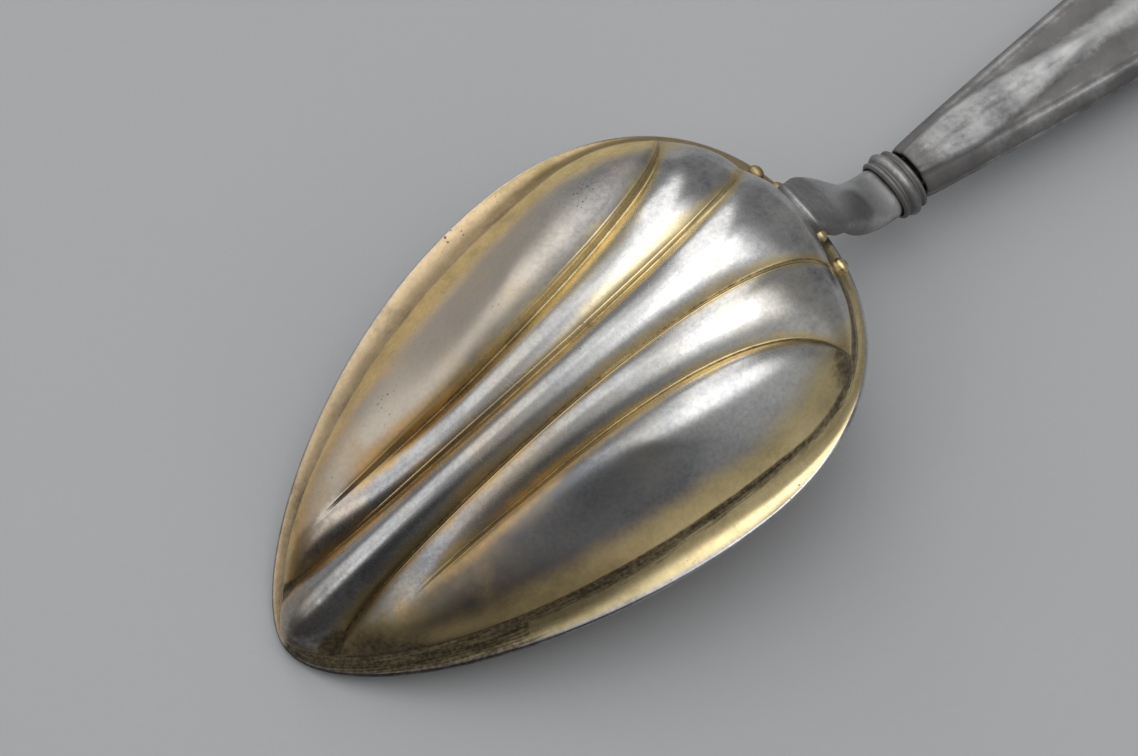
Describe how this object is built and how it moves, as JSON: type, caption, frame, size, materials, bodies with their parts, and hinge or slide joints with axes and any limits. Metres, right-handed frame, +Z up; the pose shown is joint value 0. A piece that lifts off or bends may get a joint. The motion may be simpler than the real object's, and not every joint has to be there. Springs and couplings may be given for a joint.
{
  "type": "berry spoon",
  "caption": "Serving spoon with an egg-shaped gilt bowl pressed into lobes, on a bent stem with a collar and a widening filled hollow handle, lying face down.",
  "frame": {"origin": "centre of the bounding box, on the table under the spoon", "axes": "+X from the tip of the bowl to the end of the handle, +Y across, +Z up from the table"},
  "size_m": [0.2146, 0.0492, 0.0262],
  "materials": {
    "gilt": "silver with a worn gold wash, tarnished in the grooves",
    "stem_silver": "darkened silver",
    "collar_silver": "worn polished silver",
    "silver": "worn silver, darker in the hollows",
    "front_silver": "worn silver, darker in the hollows",
    "cement": "brown resin cement, hidden inside the handle"
  },
  "bodies": {
    "root": {"bowl": "gilt", "stem": "stem_silver", "collar": "collar_silver", "handle_back": "silver", "handle_front": "front_silver", "handle_filling": "cement"}
  },
  "joints": []
}
